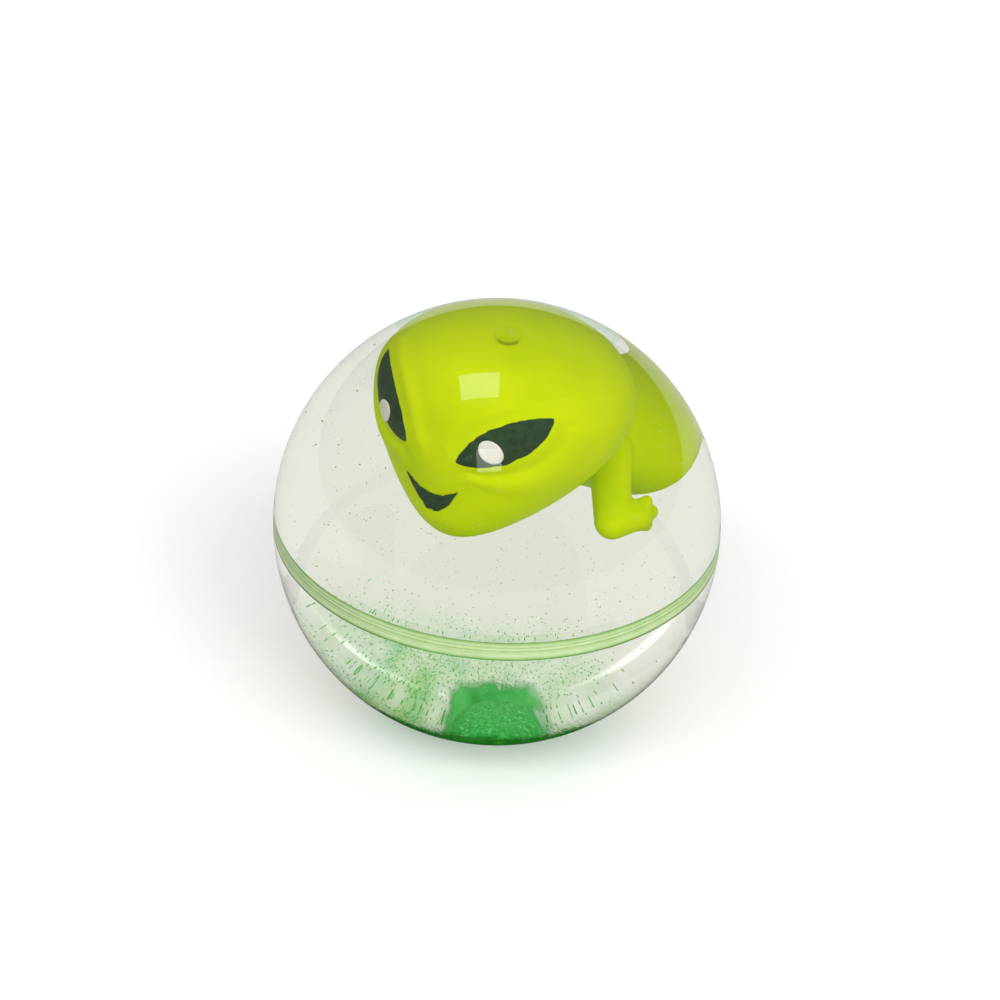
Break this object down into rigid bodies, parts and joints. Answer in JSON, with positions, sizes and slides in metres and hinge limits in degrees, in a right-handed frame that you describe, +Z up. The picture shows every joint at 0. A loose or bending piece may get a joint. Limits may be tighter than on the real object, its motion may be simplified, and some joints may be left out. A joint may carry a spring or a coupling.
{
  "type": "light-up water ball",
  "caption": "Clear bouncing ball filled with water and glitter, with a seam band, a fill plug and a floating hollow figure that holds a bounce-switched flasher.",
  "frame": {"origin": "middle of the small flat at the bottom of the ball, on which it rests", "axes": "+Z up through the fill plug; the floating figure faces towards -Y and +X is to the right of someone who looks at its face"},
  "size_m": [0.065, 0.065, 0.0647],
  "materials": {
    "clear_vinyl": "clear soft vinyl, glossy",
    "seam_green": "pale green welded band, satin",
    "water": "clear water with a faint green tint",
    "glitter": "settled green glitter flakes",
    "lime_vinyl": "lime green moulded vinyl, satin",
    "seal_rubber": "soft pale seal",
    "clear_case": "clear hard plastic",
    "cell_steel": "nickel-plated steel",
    "contact_brass": "bright brass",
    "spring_steel": "drawn spring wire",
    "board_green": "green circuit board",
    "chip_black": "black resin",
    "lamp_red": "tinted clear resin",
    "lamp_blue": "tinted clear resin"
  },
  "bodies": {
    "shell": {"upper_shell": "clear_vinyl", "lower_shell": "clear_vinyl", "seam_ring": "seam_green", "fill_plug": "clear_vinyl"},
    "water": {"water_fill": "water", "glitter_bed": "glitter"},
    "figure": {"figure_head": "lime_vinyl", "figure_body": "lime_vinyl", "base_plug": "lime_vinyl", "neck_seal": "seal_rubber", "module_cup": "clear_case", "module_cap": "clear_case", "button_cell_1": "cell_steel", "button_cell_2": "cell_steel", "button_cell_3": "cell_steel", "contact_rear": "contact_brass", "contact_front": "contact_brass", "circuit_board": "board_green", "flasher_chip": "chip_black", "lamp_red": "lamp_red", "lamp_blue": "lamp_blue", "shock_pin": "contact_brass"},
    "shock_switch": {"shock_spring": "spring_steel"}
  },
  "joints": [
    {"name": "swirl", "type": "hinge", "parent": "shell", "child": "water", "pos_m": [0, 0, 0.03225], "axis": [0, 0, 1], "continuous": true},
    {"name": "tumble", "type": "hinge", "parent": "water", "child": "figure", "pos_m": [0, 0, 0.03225], "axis": [0.8517, -0.524, 0], "range_deg": [-65, 120], "stiffness_Nm_per_rad": 0.004, "springref_deg": 7.79, "deforming": ["water_fill"]},
    {"name": "spring_sway", "type": "hinge", "parent": "figure", "child": "shock_switch", "pos_m": [-0.0016, 0.00023, 0.04743], "axis": [0.8517, -0.524, 0], "range_deg": [-8, 8], "stiffness_Nm_per_rad": 0.00001}
  ]
}
